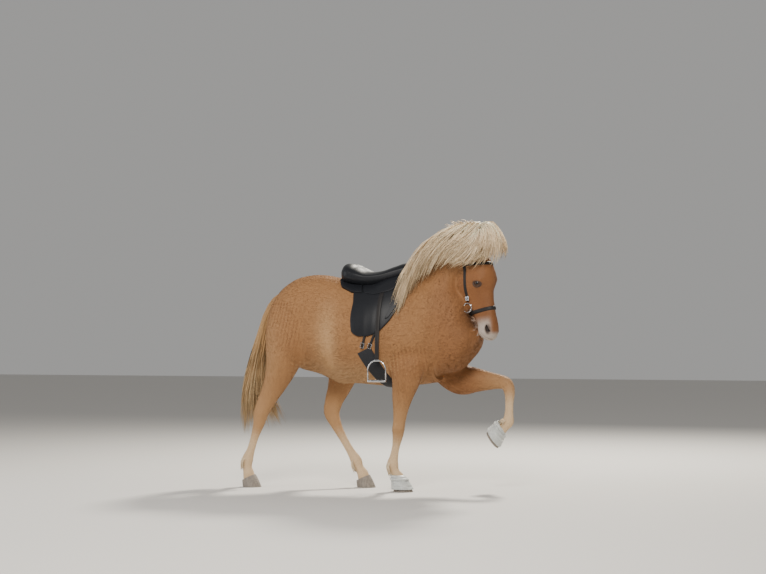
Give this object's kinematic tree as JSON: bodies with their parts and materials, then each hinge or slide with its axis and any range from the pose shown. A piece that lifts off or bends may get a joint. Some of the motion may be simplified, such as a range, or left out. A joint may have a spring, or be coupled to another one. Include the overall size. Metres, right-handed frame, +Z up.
{
  "type": "life-size icelandic horse model",
  "caption": "Golden chestnut Icelandic horse as a still life-size model in the tolt, one fore leg raised, with saddle, bridle and heel boots",
  "frame": {"origin": "on the floor, midway along and across the horse", "axes": "+X forward, +Y to the horse's left, +Z up"},
  "size_m": [1.8218, 0.618, 1.6841],
  "materials": {
    "coat": "short golden chestnut coat",
    "cream": "pale hair of the lower legs",
    "tail": "long golden hair",
    "horn": "dusty grey hoof horn",
    "eye": "wet dark brown eye",
    "leather": "worn black leather",
    "steel": "polished with fine wear",
    "boot": "pale ribbed rubber, dusty"
  },
  "bodies": {
    "root": {"torso": "coat", "neck": "coat", "head": "coat", "tail": "tail", "saddle": "leather", "girth": "leather", "bridle": "leather", "noseband": "leather", "ear_near": "coat", "eye_near": "eye", "leather_near": "leather", "iron_near": "steel", "bit_near": "steel", "ear_far": "coat", "eye_far": "eye", "leather_far": "leather", "iron_far": "steel", "bit_far": "steel", "near_fore_upper": "coat", "near_fore_cannon": "coat", "near_fore_pastern": "cream", "near_fore_hoof": "horn", "near_fore_boot": "boot", "far_fore_upper": "coat", "far_fore_cannon": "coat", "far_fore_pastern": "cream", "far_fore_hoof": "horn", "far_fore_boot": "boot", "near_hind_upper": "coat", "near_hind_cannon": "coat", "near_hind_pastern": "cream", "near_hind_hoof": "horn", "far_hind_upper": "coat", "far_hind_cannon": "coat", "far_hind_pastern": "cream", "far_hind_hoof": "horn"}
  },
  "joints": []
}
